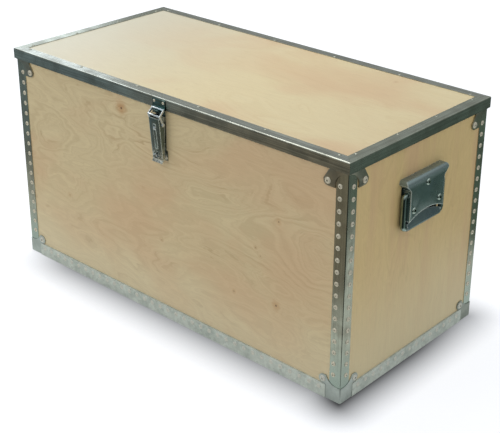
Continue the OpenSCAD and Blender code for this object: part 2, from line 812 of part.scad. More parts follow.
// Lever: a channel with its web outwards, a pressed rib, a turned-out tail and a padlock slot
module latch_lever() {
    top = [lever_out, pivot[1]];
    low = [lever_tail_out, lever_low];
    slope = (low - top) / lever_len;
    rib_mid = [-lever_t / 2 + rib_out / 2, 0];
    rib_top = top + slope * rib_from;
    rib_low = top + slope * rib_to;
    inner = [-lever_t, 0];
    past = slope * head_r;
    color([0.66, 0.7, 0.72]) on_face(FRONT, latch_x) difference() {
        union() {
            slab(0, lever_w) {
                polygon([top, low, [flank_in + lever_t / 2, lever_low], [flank_in, pivot[1] - flank_from],
                         [pivot[0] - head_r, pivot[1]]]);
                translate(pivot) circle(head_r);
                strip(low - [lever_t / 2, 0], low - [lever_t / 2, 0] + tail_run, lever_t);
            }
            slab(0, rib_w) strip(rib_top + rib_mid, rib_low + rib_mid, lever_t + rib_out);
        }
        slab(0, lever_w - 2 * lever_t)
            polygon([top + inner + [0, 2 * head_r], top + inner, low + inner, low + inner + past,
                     [0, lever_low - head_r], [0, pivot[1] + 2 * head_r]]);
        slab(0, slot_w) translate([0, staple_z - slot_h / 2]) square([2 * lever_out, slot_h]);
        bar(0, lever_w + 2 * cut, pivot, latch_pin_d / 2 + run_clear);
        bar(0, lever_w + 2 * cut, bail_pin, latch_pin_d / 2 + hole_clear / 2);
    }
}

// Pivot pin, held in the base plate's ears and flush with the lever's sides
module latch_pivot_pin() {
    color([0.75, 0.78, 0.78]) on_face(FRONT, latch_x) bar(0, lever_w - lever_gap, pivot, latch_pin_d / 2);
}

// Places of the base plate's rivets
module latch_base_fixings() {
    for (x = [-1, 1]) translate([x * foot_rivet_pitch / 2, latch_foot_low + foot_rivet_up, 0]) children();
    for (up = base_rivet_up) translate([0, pivot[1] + up, 0]) children();
}

// Base plate on the front wall, with two ears for the pivot and a staple for a padlock
module latch_base() {
    eye = [staple_reach - eye_r - staple_lip, staple_z];
    tongue_w = 2 * ear_x + latch_base_t;
    stem_low = pivot[1] - 10;
    color([0.6, 0.63, 0.64]) on_face(FRONT, latch_x) difference() {
        union() {
            slab(0, latch_base_w) translate([0, latch_foot_low]) square([latch_base_t, latch_foot_h]);
            slab(0, tongue_w) translate([0, latch_foot_low])
                square([latch_base_t, latch_base_high - latch_foot_low]);
            for (x = [-ear_x, ear_x]) slab(x, latch_base_t) {
                polygon([[0, stem_low], [0, pivot[1]], pivot + [0, ear_pin_r - lever_gap],
                         pivot - [0, ear_pin_r - lever_gap]]);
                translate(pivot) circle(ear_pin_r);
            }
            slab(0, staple_t) {
                translate([0, staple_z - staple_h / 2]) square([eye[0], staple_h]);
                translate(eye) circle(eye_r + staple_lip);
            }
        }
        bar(0, lever_w, pivot, latch_pin_d / 2 + hole_clear / 2);
        bar(0, staple_t + 2 * cut, eye, eye_r);
        latch_base_fixings() rivet_hole(cut);
    }
}

module latch_base_rivets() {
    color([0.75, 0.76, 0.74]) on_face(FRONT, latch_x) latch_base_fixings()
        translate([0, 0, latch_base_t]) rivet(base_head_d, latch_base_t + ply_t, tail_d, base_head_h);
}

// Places of a handle's three fixings
module handle_fixings() {
    translate([0, handle_z + handle_fix_up, 0]) children();
    for (s = [-1, 1])
        translate([s * handle_fix_pitch / 2, handle_z - handle_fix_low, 0]) children();
}

// Front view of the housing, smaller by inset all round: a straight pan, sloping shoulders and a hood
module housing_front(inset) {
    half = hood_w / 2 - inset;
    pan = pan_half - inset;
    r = hood_end_r - inset;
    lean = inset * tan(22.5);
    translate([-half, shoulder_z + lean]) square([2 * half, hood_top - hood_end_r - shoulder_z - lean]);
    translate([r - half, shoulder_z + lean]) square([2 * (half - r), hood_top - inset - shoulder_z - lean]);
    for (s = [-1, 1]) translate([s * (half - r), hood_top - hood_end_r]) circle(r);
    polygon([[-half, shoulder_z + lean], [-pan, hood_low + lean], [pan, hood_low + lean],
             [half, shoulder_z + lean]]);
    translate([-pan, pan_foot - inset]) square([2 * pan, hood_low + 2 * cut - pan_foot + inset]);
}

// Side view of the housing, smaller by inset all round, with its bend at the top
module housing_side(inset) {
    out = handle_out - inset;
    top = hood_top - inset;
    r = hood_r - inset;
    low = pan_foot - cut - inset;
    translate([-inset, low]) square([out - r + inset, top - low]);
    translate([-inset, low]) square([out + inset, top - low - r]);
    translate([out - r, top - r]) circle(r);
}

// Solid with the housing's front and side views, open to the wall when it is the hollow
module housing_block(inset) {
    intersection() {
        translate([0, 0, -inset]) linear_extrude(handle_out) housing_front(inset);
        slab(0, hood_w) housing_side(inset);
    }
}

// Handle housing: a pressed pan with an arched lower edge, under a hood that shades the arms
module handle_housing(side) {
    color([0.3, 0.37, 0.34]) on_face(side) difference() {
        union() {
            difference() {
                housing_block(0);
                housing_block(handle_t);
            }
            handle_fixings() cylinder(h = handle_out - handle_t / 2, r = boss_r);
        }
        translate([0, handle_z - pan_drop - pan_arch_r, -cut])
            cylinder(h = handle_out + 2 * cut, r = pan_arch_r, $fn = 180);
        bar(0, pan_w + cut, [rod_off, handle_z], rod_d / 2 + run_clear);
        handle_fixings() rivet_hole(cut, handle_out + cut);
    }
}

// Handle rod: round bar bent at four corners, its two ends turned in
module handle_rod(side) {
    half = arm_span / 2;
    color([0.46, 0.52, 0.5]) on_face(side) translate([0, handle_z, rod_off]) {
        bar(0, arm_span - 2 * bend_r, [0, -arm_len], rod_d / 2);
        for (s = [-1, 1]) {
            bar(s * (half - bend_r - stub / 2), stub, [0, 0], rod_d / 2);
            translate([s * half, -bend_r, 0]) rotate([90, 0, 0])
                cylinder(h = arm_len - 2 * bend_r, r = rod_d / 2);
        }
        for (turn = [0:3]) translate([(turn == 0 || turn == 3 ? 1 : -1) * (half - bend_r),
                                      turn < 2 ? -bend_r : bend_r - arm_len, 0])
            rotate([0, 0, 90 * turn]) rotate_extrude(angle = 90)
                translate([bend_r, 0]) circle(rod_d / 2);
    }
}

// Grip: sheet folded round the lower bar, with an arched upper edge
module handle_grip(side) {
    arch_y = grip_h - grip_d / 2;
    rise = grip_h - grip_end_h;
    arch_r = (grip_w * grip_w / 4 + rise * rise) / (2 * rise);
    half = grip_d / 2 - grip_inset;
    color([0.4, 0.46, 0.44]) on_face(side) translate([0, handle_z - arm_len, rod_off]) difference() {
        intersection() {
            slab(0, grip_w) {
                circle(grip_d / 2);
                polygon([[-half, 0], [half, 0], [grip_top_r, arch_y + cut], [-grip_top_r, arch_y + cut]]);
            }
            translate([0, arch_y - arch_r, 0])
                cylinder(h = 2 * grip_d, r = arch_r, center = true, $fn = 180);
        }
        rotate([0, 90, 0]) cylinder(h = grip_w + 2 * cut, r = rod_d / 2 + grip_gap, center = true);
    }
}

module handle_rivets(side) {
    color([0.7, 0.75, 0.74]) on_face(side) handle_fixings()
        translate([0, 0, handle_out]) rivet(fix_head_d, handle_out + ply_t, big_tail_d, fix_head_h);
}

module handle_housing_left() { handle_housing(LEFT); }
module handle_housing_right() { handle_housing(RIGHT); }
module handle_rod_left() { handle_rod(LEFT); }
module handle_rod_right() { handle_rod(RIGHT); }
module handle_grip_left() { handle_grip(LEFT); }
module handle_grip_right() { handle_grip(RIGHT); }
module handle_rivets_left() { handle_rivets(LEFT); }
module handle_rivets_right() { handle_rivets(RIGHT); }

front_panel();
back_panel();
left_end_panel();
right_end_panel();
bottom_panel();
lid_panel();
corner_angle_front_left();
corner_angle_front_right();
corner_angle_back_left();
corner_angle_back_right();
bottom_angle_front();
bottom_angle_back();
bottom_angle_left();
bottom_angle_right();
corner_cap_front_left();
corner_cap_front_right();
corner_cap_back_left();
corner_cap_back_right();
corner_brace_front_left();
corner_brace_front_right();
corner_brace_back_left();
corner_brace_back_right();
lid_edging_front();
lid_edging_back();
lid_edging_left();
lid_edging_right();
corner_rivets_front();
corner_rivets_back();
corner_rivets_left();
corner_rivets_right();
bottom_angle_rivets();
corner_cap_rivets();
corner_brace_rivets();
lid_rivets();
hinge_body_leaf_left();
hinge_body_leaf_right();
hinge_lid_leaf_left();
hinge_lid_leaf_right();
hinge_pin_left();
hinge_pin_right();
hinge_body_rivets();
hinge_lid_rivets();
latch_keeper();
latch_keeper_rivets();
latch_bail();
latch_bail_pin();
latch_lever();
latch_pivot_pin();
latch_base();
latch_base_rivets();
handle_housing_left();
handle_housing_right();
handle_rod_left();
handle_rod_right();
handle_grip_left();
handle_grip_right();
handle_rivets_left();
handle_rivets_right();
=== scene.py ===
import json
import math

import bmesh
import bpy
from mathutils import Matrix, Vector

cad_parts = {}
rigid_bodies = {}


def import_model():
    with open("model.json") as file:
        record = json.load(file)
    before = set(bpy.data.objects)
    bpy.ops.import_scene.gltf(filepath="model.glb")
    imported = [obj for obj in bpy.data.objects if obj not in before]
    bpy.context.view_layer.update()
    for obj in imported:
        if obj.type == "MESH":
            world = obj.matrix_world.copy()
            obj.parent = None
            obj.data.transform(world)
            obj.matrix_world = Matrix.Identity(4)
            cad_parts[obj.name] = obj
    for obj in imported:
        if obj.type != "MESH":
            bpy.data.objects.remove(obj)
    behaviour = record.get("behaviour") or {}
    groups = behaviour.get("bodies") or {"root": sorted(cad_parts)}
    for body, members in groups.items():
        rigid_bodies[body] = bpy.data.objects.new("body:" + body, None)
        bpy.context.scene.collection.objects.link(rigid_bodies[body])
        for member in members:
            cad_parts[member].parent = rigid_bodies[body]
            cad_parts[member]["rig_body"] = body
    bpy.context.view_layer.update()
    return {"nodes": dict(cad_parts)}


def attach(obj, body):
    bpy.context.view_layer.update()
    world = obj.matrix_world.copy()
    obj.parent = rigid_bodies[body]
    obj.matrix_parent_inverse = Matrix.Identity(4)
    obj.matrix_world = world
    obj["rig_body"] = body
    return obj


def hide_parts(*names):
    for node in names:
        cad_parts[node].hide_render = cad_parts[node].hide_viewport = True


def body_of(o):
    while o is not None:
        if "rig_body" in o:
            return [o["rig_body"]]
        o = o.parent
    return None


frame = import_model()
nodes = frame["nodes"]


# Camera: it stands off the front right corner, a little above the lid, and looks down on it.
# Its lens and its shift give the frame of the photograph, 500 by 433 pixels.
photo_w, photo_h = 500, 433
focal_px = 1159.0
centre_px = (268.8, 180.1)
camera_place = (1.51144655, -1.62258722, 1.24421918)
camera_right = Vector((0.7476354, 0.66403972, 0.00962106))
camera_up = Vector((-0.2799859, 0.30203033, 0.91125495))
camera_back = Vector((0.60220363, -0.68398021, 0.41173032))
camera_data = bpy.data.cameras.new("camera")
camera_data.sensor_width = 36
camera_data.lens = focal_px / photo_w * camera_data.sensor_width
camera_data.shift_x = (photo_w / 2 - centre_px[0]) / photo_w
camera_data.shift_y = (centre_px[1] - photo_h / 2) / photo_w
camera_data.clip_start = 0.05
camera_data.clip_end = 60
camera = bpy.data.objects.new("camera", camera_data)
bpy.context.scene.collection.objects.link(camera)
camera_turn = Matrix((camera_right, camera_up, camera_back)).transposed().to_4x4()
camera.matrix_world = Matrix.Translation(camera_place) @ camera_turn
bpy.context.scene.camera = camera
bpy.context.scene.view_settings.view_transform = "Standard"


# Floor and studio: a plain white bench in a dim room, with soft lamps above and to the left.
# The camera sees the bench white, with the soft shadow of the chest on it. Polished steel mirrors
# pale bench close by, the dim room beyond, and a dark gap past the near corner.
def colour(code):
    """An sRGB hex colour as linear RGBA."""
    parts = [int(code[i:i + 2], 16) / 255 for i in (0, 2, 4)]
    linear = [p / 12.92 if p <= 0.04045 else ((p + 0.055) / 1.055) ** 2.4 for p in parts]
    return (*linear, 1.0)


def add(tree, kind, inputs=(), **settings):
    """Adds a shader node with its settings, and sets its inputs by name or number. A socket or
    a node given as an input is linked, a node by its first output in use. Mix takes its amount
    at 0 and its two colours at 6 and 7; MapRange takes its value at 0 and its ranges at 1 to 4."""
    node = tree.nodes.new("ShaderNode" + kind)
    for name, value in settings.items():
        setattr(node, name, value)
    for key, value in dict(inputs).items():
        if isinstance(value, bpy.types.Node):
            value = next(output for output in value.outputs if output.enabled)
        if isinstance(value, bpy.types.NodeSocket):
            tree.links.new(value, node.inputs[key])
        else:
            node.inputs[key].default_value = value
    return node


def blank(name):
    """A new material with nothing in it, and the tree to build it in."""
    material = bpy.data.materials.new(name)
    material.use_nodes = True
    material.node_tree.nodes.clear()
    return material, material.node_tree


half_x, half_y = 0.447, 0.214  # half the chest, over its corner angles
smooth = {"interpolation_type": "SMOOTHSTEP"}  # for a MapRange that eases in and out

# White paint, rolled on: too smooth and too bright for any grain to show, so only shadow marks it
bench_paint, tree = blank("bench_white_paint")
ray = add(tree, "LightPath").outputs
place = add(tree, "SeparateXYZ", {0: add(tree, "TexCoord").outputs["Object"]}).outputs
beside = add(tree, "Math", {0: place[0]}, operation="ABSOLUTE")
beside = add(tree, "Math", {0: beside, 1: half_x}, operation="SUBTRACT")
before = add(tree, "Math", {0: place[1]}, operation="ABSOLUTE")
before = add(tree, "Math", {0: before, 1: half_y}, operation="SUBTRACT")
# What steel mirrors: pale bench up to 200 mm off the long sides and 340 mm off the ends, then
# the room's tones from left to right, and a dark gap that opens 40 mm past the near corner
away = add(tree, "Math", {0: beside, 1: 0.14}, operation="SUBTRACT")
away = add(tree, "Math", {0: away, 1: before}, operation="MAXIMUM")
close_by = add(tree, "MapRange", {0: away, 1: 0.2, 2: 0.34, 3: 1.0, 4: 0.0}, **smooth)
mirrored = colour("7A888C")
for start, end, tone in ((-1.1, -0.7, "877F70"), (0.3, 0.5, "5C6E63"), (1.07, 1.12, "6E7876")):
    amount = add(tree, "MapRange", {0: place[0], 1: start, 2: end}, **smooth)
    mirrored = add(tree, "Mix", {0: amount, 6: mirrored, 7: colour(tone)}, data_type="RGBA")
mirrored = add(tree, "Mix", {0: close_by, 6: mirrored, 7: colour("D6DCD8")}, data_type="RGBA")
past_end = add(tree, "Math", {0: place[0], 1: half_x}, operation="SUBTRACT")
past_front = add(tree, "Math", {0: -half_y, 1: place[1]}, operation="SUBTRACT")
past_corner = add(tree, "Math", {0: past_end, 1: past_front}, operation="MINIMUM")
gap = add(tree, "MapRange", {0: past_corner, 1: 0.0, 2: 0.04, 3: 0.0, 4: 0.93}, **smooth)
mirrored = add(tree, "Mix", {0: gap, 6: mirrored, 7: colour("141A16")}, data_type="RGBA")
# The soft shadow round the foot: 92 mm wide, and deeper on the side away from the lamps
off_x = add(tree, "Math", {0: beside, 1: 0.0}, operation="MAXIMUM")
off_y = add(tree, "Math", {0: before, 1: 0.0}, operation="MAXIMUM")
off = add(tree, "CombineXYZ", {0: off_x, 1: off_y})
off = add(tree, "VectorMath", {0: off}, operation="LENGTH")
shade = add(tree, "MapRange", {0: off, 1: 0.0, 2: 0.092, 3: 1.0, 4: 0.0})
shade = add(tree, "Math", {0: shade, 1: 1.5}, operation="POWER")
from_left = add(tree, "MapRange", {0: place[0], 1: -0.49, 2: -0.3, 3: 0.0, 4: 0.63}, **smooth)
at_right = add(tree, "MapRange", {0: place[0], 1: 0.38, 2: half_x, 3: 0.0, 4: 0.3}, **smooth)
to_back = add(tree, "MapRange", {0: place[1], 1: 0.0, 2: 0.26, 3: 1.0, 4: 0.6}, **smooth)
depth = add(tree, "Math", {0: from_left, 1: at_right}, operation="ADD")
depth = add(tree, "Math", {0: depth, 1: to_back}, operation="MULTIPLY")
shade = add(tree, "Math", {0: shade, 1: depth}, operation="MULTIPLY")
dimmed = add(tree, "MapRange", {0: shade, 1: 0.0, 2: 1.0, 3: 1.0, 4: 0.6}, **smooth)
mirrored = add(tree, "VectorMath", {0: mirrored, "Scale": dimmed}, operation="SCALE")
mirrored = add(tree, "Emission", {0: mirrored, 1: 1.0})
# To the camera the bench glows nearly white, and its paint takes a little of the lamps' light
unshaded = add(tree, "Math", {0: 1.0, 1: shade}, operation="SUBTRACT")
white = add(tree, "VectorMath", {0: colour("F6F8FC")[:3], "Scale": unshaded}, operation="SCALE")
paint = add(tree, "VectorMath", {0: white, "Scale": 0.35}, operation="SCALE")
paint = add(tree, "BsdfDiffuse", {0: paint})
glow = add(tree, "Emission", {0: white, 1: 0.86})
seen = add(tree, "AddShader", {0: paint, 1: glow})
bounce = add(tree, "BsdfDiffuse", {0: colour("F4F4EE")})
unseen = add(tree, "MixShader", {0: ray["Is Glossy Ray"], 1: bounce, 2: mirrored})
whole = add(tree, "MixShader", {0: ray["Is Camera Ray"], 1: unseen, 2: seen})
add(tree, "OutputMaterial", {0: whole})

# The bench lies a hair under the foot, so that the two never share a plane
bm = bmesh.new()
bmesh.ops.create_circle(bm, cap_ends=True, segments=64, radius=9)
bmesh.ops.translate(bm, verts=bm.verts, vec=(0, 0, -0.0004))
mesh = bpy.data.meshes.new("bench")
bm.to_mesh(mesh)
bm.free()
mesh.materials.append(bench_paint)
bench = bpy.data.objects.new("bench", mesh)
bpy.context.scene.collection.objects.link(bench)

# The room: even soft light, white to the camera, and to steel dark at the foot and pale overhead
studio = bpy.data.worlds.new("studio")
studio.use_nodes = True
tree = studio.node_tree
tree.nodes.clear()
ray = add(tree, "LightPath").outputs
height = add(tree, "SeparateXYZ", {0: add(tree, "TexCoord").outputs["Generated"]}).outputs[2]
walls = add(tree, "ValToRGB", {0: height})
for element, position, tone in zip(walls.color_ramp.elements, (0.05, 0.75), ("6A6A64", "E4E8E8")):
    element.position = position
    element.color = colour(tone)
soft = add(tree, "Background", {0: colour("F8FAFA"), 1: 0.62})
glossy = add(tree, "Background", {0: walls, 1: 1.0})
paper = add(tree, "Background", {0: colour("FFFFFF"), 1: 1.0})
lit = add(tree, "MixShader", {0: ray["Is Glossy Ray"], 1: soft, 2: glossy})
sky = add(tree, "MixShader", {0: ray["Is Camera Ray"], 1: lit, 2: paper})
add(tree, "OutputWorld", {0: sky})
bpy.context.scene.world = studio

# Square softboxes: name, place, aim, size in metres, watts and tint
softboxes = (
    ("key_light", (-0.9, 0.3, 2.4), (0, 0, 0.3), 1.2, 17, "FFFAF0"),
    ("side_light", (-2.2, 0.1, 2.1), (-0.2, 0, 0.45), 1.1, 11, "F0F8FF"),
    ("glare_light", (-2.6, 1.15, 1.15), (-0.2, 0, 0.45), 1.1, 5.5, "F0F8FF"),
    ("fill_light", (-1.0, -1.9, 1.9), (0, 0, 0.2), 1.2, 6.4, "FFF8EE"),
)
for name, stand, aim, size, watts, tint in softboxes:
    light = bpy.data.lights.new(name, "AREA")
    light.shape = "SQUARE"
    light.size = size
    light.energy = watts
    light.color = colour(tint)[:3]
    lamp = bpy.data.objects.new(name, light)
    lamp.location = stand
    lamp.rotation_euler = (Vector(aim) - Vector(stand)).to_track_quat("-Z", "Y").to_euler()
    bpy.context.scene.collection.objects.link(lamp)


# Walls and floor of the chest: 9 mm birch plywood, rotary cut, sanded and left bare.
# The peeled face veneer shows its rings as on a contour map, with pin knots and pinkish clouds,
# and the sawn edges show the plies. The boards butt together, and the steel holds them.
def birch_plywood(name, grain, across, through, seed, pale, dark, figure, stack,
                  cloud_mm=(260, 170), swells=(), pins=(), ruddy=(), painted_light=None):
    """Peeled birch veneer, with the axes along and across its grain and through the board.
    Places on its face are in mm: swells are (x, y, radius, height) and bulge the rings, pins are
    (x, y, size) and ruddy patches (x, y, width, amount). faded is painted light that pales the
    board towards one end: a colour, an axis, where it starts and ends in metres, and an amount.
    figure is how strongly the rings show, and stack is the face that the plies start from."""
    material, tree = blank(name)
    place = add(tree, "SeparateXYZ", {0: add(tree, "TexCoord").outputs["Object"]}).outputs
    face = add(tree, "CombineXYZ", {0: place[grain], 1: place[across], 2: seed})
    # Each pattern: the length and height of its marks in mm, its detail, roughness and bend
    patterns = {
        "wander": (330, 120, 3.0, 0.45, 0.7),  # the log under the knife, which the rings follow
        "ripple": (17, 8, 2.0, 0.5, 0.0),  # small waves in the rings
        "ragged": (9, 5, 2.0, 0.5, 0.0),  # the torn edges of a knot
        "weight": (60, 26, 2.0, 0.5, 0.0),  # how strong a ring's thin line is
        "gaps": (150, 80, 2.0, 0.5, 0.0),  # where the thin lines fade out
        "clouds": (*cloud_mm, 2.0, 0.5, 0.5),  # pinkish wood
        "patches": (70, 45, 3.0, 0.5, 0.0),  # the uneven rim of a ruddy patch
        "flecks": (8, 1.6, 1.0, 0.5, 0.0),  # short pith flecks
        "fibre": (40, 1.5, 3.0, 0.6, 0.2),  # finer than 1.5 mm it would not show
    }
    drawn = {}
    for pattern, (long_mm, high_mm, detail, rough, bend) in patterns.items():
        sized = add(tree, "Mapping", {0: face, "Scale": (1000 / long_mm, 1000 / high_mm, 1)})
        drawn[pattern] = add(tree, "TexNoise", {0: sized, "Scale": 1.0, "Detail": detail,
                                                "Roughness": rough, "Distortion": bend})
    # The height that the rings contour: slow wander, a small ripple, and a bulge at each swell
    ripple = add(tree, "Math", {0: drawn["ripple"], 1: 0.035}, operation="MULTIPLY")
    rise = add(tree, "Math", {0: drawn["wander"], 1: ripple}, operation="ADD")
    for x, y, radius, height in swells:
        spot = (x / 1000, y / 1000, seed)
        near = add(tree, "VectorMath", {0: face, 1: spot}, operation="DISTANCE")
        bulge = {0: near, 1: 0.0, 2: radius / 1000, 3: height, 4: 0.0}
        bulge = add(tree, "MapRange", bulge, **smooth)
        rise = add(tree, "Math", {0: rise, 1: bulge}, operation="ADD")
    # A pin knot of size 1 lifts the rings over 18 mm, and has a dark core, soft from 0.7 to 2.2 mm,
    # in a brown flare that fades out at 13 mm. Both have ragged edges.
    ragged = add(tree, "Math", {0: drawn["ragged"], 1: 0.6}, operation="ADD")
    cores = flares = None
    for x, y, size in pins:
        spot = (x / 1000, y / 1000, seed)
        near = add(tree, "VectorMath", {0: face, 1: spot}, operation="DISTANCE")
        bulge = {0: near, 1: 0.0, 2: size * 0.018, 3: 0.07, 4: 0.0}
        bulge = add(tree, "MapRange", bulge, **smooth)
        rise = add(tree, "Math", {0: rise, 1: bulge}, operation="ADD")
        near = add(tree, "Math", {0: near, 1: ragged}, operation="MULTIPLY")
        core = {0: near, 1: size * 0.0007, 2: size * 0.0022, 3: 0.8, 4: 0.0}
        core = add(tree, "MapRange", core, **smooth)
        flare = {0: near, 1: size * 0.001, 2: size * 0.013, 3: size * 0.34, 4: 0.0}
        flare = add(tree, "MapRange", flare, **smooth)
        if cores is None:
            cores, flares = core, flare
        else:
            cores = add(tree, "Math", {0: cores, 1: core}, operation="MAXIMUM")
            flares = add(tree, "Math", {0: flares, 1: flare}, operation="MAXIMUM")
    # Rings of uneven width: soft bands about 8 mm wide, and the thin brown line that ends some
    bands_in_rise, lines_in_rise = 21.0, 11
    bands = add(tree, "Math", {0: rise, 1: bands_in_rise}, operation="MULTIPLY")
    bands = add(tree, "TexNoise", {"W": bands, "Scale": 1.0, "Detail": 3.0, "Roughness": 0.6},
                noise_dimensions="1D")
    bands = add(tree, "MapRange", {0: bands, 1: 0.34, 2: 0.68}, **smooth)
    bands = add(tree, "Math", {0: bands, 1: 0.42}, operation="MULTIPLY")
    lines = add(tree, "Math", {0: rise, 1: 2 * math.pi * lines_in_rise}, operation="MULTIPLY")
    lines = add(tree, "Math", {0: lines}, operation="SINE")
    weight = add(tree, "Math", {0: drawn["weight"], 1: 0.42}, operation="ADD")
    lines = add(tree, "Math", {0: lines, 1: weight}, operation="MULTIPLY")
    lines = add(tree, "MapRange", {0: lines, 1: 0.72, 2: 0.98}, **smooth)
    gaps = add(tree, "MapRange", {0: drawn["gaps"], 1: 0.46, 2: 0.66}, **smooth)
    lines = add(tree, "Math", {0: lines, 1: gaps}, operation="MULTIPLY")
    lines = add(tree, "Math", {0: lines, 1: 0.6}, operation="MULTIPLY")
    rings = add(tree, "Math", {0: bands, 1: lines}, operation="ADD")
    rings = add(tree, "Math", {0: rings, 1: figure}, operation="MULTIPLY")
    base = add(tree, "Mix", {0: rings, 6: colour(pale), 7: colour(dark)}, data_type="RGBA")
    # Clouds and patches of pinkish wood, and painted light that pales one end of the board
    pink = add(tree, "MapRange", {0: drawn["clouds"], 1: 0.42, 2: 0.68}, **smooth)
    pink = add(tree, "Math", {0: pink, 1: 0.5}, operation="MULTIPLY")
    for x, y, width, amount in ruddy:
        spot = (x / 1000, y / 1000, seed)
        near = add(tree, "VectorMath", {0: face, 1: spot}, operation="DISTANCE")
        near = add(tree, "Math", {0: near, 1: drawn["patches"]}, operation="MULTIPLY")
        patch = {0: near, 1: 0.0, 2: width / 2000, 3: amount, 4: 0.0}
        patch = add(tree, "MapRange", patch, **smooth)
        pink = add(tree, "Math", {0: pink, 1: patch}, operation="MAXIMUM")
    # Painted light: a paler tone towards one end, standing in for bounce light or sheen, which also
    # fades the pink there
    if painted_light:
        tone, axis, start, end, amount = painted_light
        light = {0: place[axis], 1: start, 2: end, 3: amount, 4: 0.0}
        light = add(tree, "MapRange", light, **smooth)
        base = add(tree, "Mix", {0: light, 6: base, 7: colour(tone)}, data_type="RGBA")
        kept = add(tree, "Math", {0: 1.0, 1: light}, operation="SUBTRACT")
        pink = add(tree, "Math", {0: pink, 1: kept}, operation="MULTIPLY")
    base = add(tree, "Mix", {0: pink, 6: base, 7: colour("D2AC88")}, data_type="RGBA")
    # Short pith flecks, the fibre, and the knots over it
    flecks = add(tree, "MapRange", {0: drawn["flecks"], 1: 0.68, 2: 0.8, 3: 0.0, 4: 0.3}, **smooth)
    base = add(tree, "Mix", {0: flecks, 6: base, 7: colour("A98A62")}, data_type="RGBA")
    fibre = {0: drawn["fibre"], 1: 0.25, 2: 0.75, 3: 0.955, 4: 1.03}
    fibre = add(tree, "MapRange", fibre, **smooth)
    base = add(tree, "VectorMath", {0: base, "Scale": fibre}, operation="SCALE")
    if pins:
        base = add(tree, "Mix", {0: flares, 6: base, 7: colour("B5804A")}, data_type="RGBA")
        base = add(tree, "Mix", {0: cores, 6: base, 7: colour("4E3520")}, data_type="RGBA")
    # Seven plies in 9 mm, seen on the edges: every other one shows its end grain
    plies, thick = 7, 0.009
    depth = add(tree, "Math", {0: place[through], 1: stack}, operation="SUBTRACT")
    depth = add(tree, "Math", {0: depth, 1: math.pi * plies / thick}, operation="MULTIPLY")
    ply = add(tree, "Math", {0: depth}, operation="SINE")
    ply = add(tree, "MapRange", {0: ply, 1: -0.3, 2: 0.3}, **smooth)
    ends = add(tree, "Mix", {0: ply, 6: colour("C8AE80"), 7: colour("94744A")}, data_type="RGBA")
    pores = {0: add(tree, "TexCoord").outputs["Object"], "Scale": 900.0, "Detail": 2.0}
    pores = add(tree, "TexNoise", pores)
    ends = add(tree, "Mix", {0: pores, 6: ends, 7: colour("B4976A")}, data_type="RGBA")
    facing = add(tree, "SeparateXYZ", {0: add(tree, "TexCoord").outputs["Normal"]})
    facing = add(tree, "Math", {0: facing.outputs[through]}, operation="ABSOLUTE")
    edge = add(tree, "Math", {0: facing, 1: 0.5}, operation="LESS_THAN")
    base = add(tree, "Mix", {0: edge, 6: base, 7: ends}, data_type="RGBA")
    bump = {"Strength": 0.1, "Distance": 0.0004, "Height": drawn["fibre"]}
    shader = add(tree, "BsdfPrincipled", {"Base Color": base, "Roughness": 0.42, "IOR": 1.45,
                                          "Normal": add(tree, "Bump", bump)})
    add(tree, "OutputMaterial", {0: shader})
    return material


def finish_node(name, material):
    """Puts one material on a CAD node."""
    mesh = nodes[name].data
    mesh.materials.clear()
    mesh.materials.append(material)


X, Y, Z = range(3)
# Front: straw, with broad rings, eight pin knots and ruddy patches, and painted bounce light from
# the bench that pales it towards the foot
finish_node("front_panel", birch_plywood(
    "birch_plywood_front", grain=X, across=Z, through=Y, seed=3.1, pale="D8C7A1", dark="AA8E64",
    figure=0.62, stack=-0.2115,
    swells=((395, 270, 120, 0.3), (330, 395, 190, 0.16), (-60, 320, 150, 0.14),
            (-330, 300, 130, -0.16)),
    pins=((-120, 431, 1.8), (290, 145, 1.3), (183, 135, 0.8), (-300, 185, 0.8), (294, 320, 0.9),
          (238, 248, 0.5), (250, 235, 0.6), (-15, 176, 0.6)),
    ruddy=((330, 235, 190, 0.5), (395, 380, 110, 0.45), (-40, 300, 120, 0.35),
           (300, 110, 120, 0.4)),
    painted_light=("E9DEC2", Z, 0.02, 0.2, 0.36)))
# Back: the same sheet turned over, with two eyes in its rings
finish_node("back_panel", birch_plywood(
    "birch_plywood_back", grain=X, across=Z, through=Y, seed=8.4, pale="D8C7A1", dark="AE9268",
    figure=0.5, stack=0.2165, swells=((-220, 250, 150, 0.3), (300, 180, 120, 0.2)),
    pins=((-120, 210, 1.2), (260, 330, 0.9))))
# Right end: upright grain, plainer and more golden, with painted bounce light from the bench that
# pales it towards the foot
finish_node("right_end_panel", birch_plywood(
    "birch_plywood_right_end", grain=Z, across=Y, through=X, seed=5.7, pale="DCC28C", dark="B49866",
    figure=0.34, stack=half_x, cloud_mm=(420, 45), painted_light=("E0D2AE", Z, 0.0, 0.3, 0.9)))
# Left end: upright grain from a paler sheet, with one pin knot
finish_node("left_end_panel", birch_plywood(
    "birch_plywood_left_end", grain=Z, across=Y, through=X, seed=6.9, pale="DCCCA2", dark="B49C70",
    figure=0.34, stack=-half_x, cloud_mm=(420, 45), pins=((240, 60, 0.8),)))
# Floor of the chest: the strongest figure, and no painted light paling it
finish_node("bottom_panel", birch_plywood(
    "birch_plywood_bottom", grain=X, across=Y, through=Z, seed=2.3, pale="D8C69E", dark="AC9268",
    figure=0.6, stack=0.003, pins=((210, -60, 1.0),)))


# Lid board: the same birch plywood, from a paler and plainer sheet.
# It is riveted into the steel edging, which hides its edges. A painted sheen greys it towards its
# left end.
finish_node("lid_panel", birch_plywood(
    "birch_plywood_lid", grain=X, across=Y, through=Z, seed=11.2, pale="DFD0A9", dark="CDB584",
    figure=0.34, stack=0.4728, cloud_mm=(300, 190), swells=((-70, -70, 110, 0.12),),
    pins=((268, 166, 0.7),), painted_light=("CECAB8", X, -0.5, 0.1, 1.0)))


